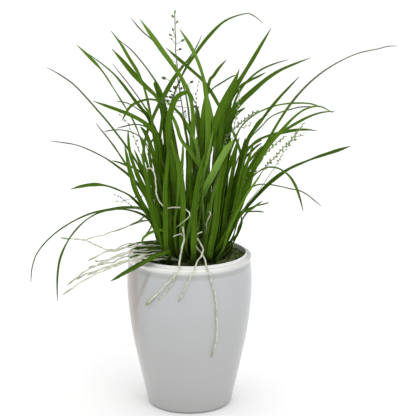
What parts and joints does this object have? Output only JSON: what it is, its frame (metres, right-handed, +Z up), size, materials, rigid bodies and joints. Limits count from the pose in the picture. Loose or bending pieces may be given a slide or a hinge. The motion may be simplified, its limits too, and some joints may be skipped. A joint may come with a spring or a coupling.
{
  "type": "potted gomesa orchid",
  "caption": "Orchid with narrow arching strap leaves, slender budding flower spikes and pale aerial roots, growing in moss in a tapered glazed pot.",
  "frame": {"origin": "centre of the pot's flat base", "axes": "+Z up the pot's axis; the plant's broad side faces -Y, with +X to the right"},
  "size_m": [0.386, 0.201, 0.416],
  "materials": {
    "glaze": "gloss",
    "moss": "matte",
    "bark": "matte",
    "shoot": "satin",
    "leaf": "satin",
    "spike": "matte",
    "root": "matte"
  },
  "bodies": {
    "root": {"pot": "glaze", "growing_medium": "moss", "bark_chip": "bark", "shoot_1": "shoot", "shoot_2": "shoot", "shoot_3": "shoot", "shoot_4": "shoot", "shoot_5": "shoot", "shoot_6": "shoot", "leaf_01": "leaf", "leaf_02": "leaf", "leaf_03": "leaf", "leaf_04": "leaf", "leaf_05": "leaf", "leaf_06": "leaf", "leaf_07": "leaf", "leaf_08": "leaf", "leaf_09": "leaf", "leaf_10": "leaf", "leaf_11": "leaf", "leaf_12": "leaf", "leaf_13": "leaf", "leaf_14": "leaf", "leaf_15": "leaf", "leaf_16": "leaf", "leaf_17": "leaf", "leaf_18": "leaf", "leaf_19": "leaf", "leaf_20": "leaf", "leaf_21": "leaf", "leaf_22": "leaf", "leaf_23": "leaf", "leaf_24": "leaf", "leaf_25": "leaf", "leaf_26": "leaf", "leaf_27": "leaf", "leaf_28": "leaf", "leaf_29": "leaf", "leaf_30": "leaf", "leaf_31": "leaf", "leaf_32": "leaf", "leaf_33": "leaf", "leaf_34": "leaf", "leaf_35": "leaf", "leaf_36": "leaf", "leaf_37": "leaf", "flower_spike_1": "spike", "flower_spike_2": "spike", "flower_spike_3": "spike", "flower_spike_4": "spike", "flower_spike_5": "spike", "root_1": "root", "root_2": "root", "root_3": "root", "root_4": "root", "root_5": "root", "root_6": "root", "root_7": "root", "root_8": "root"}
  },
  "joints": []
}
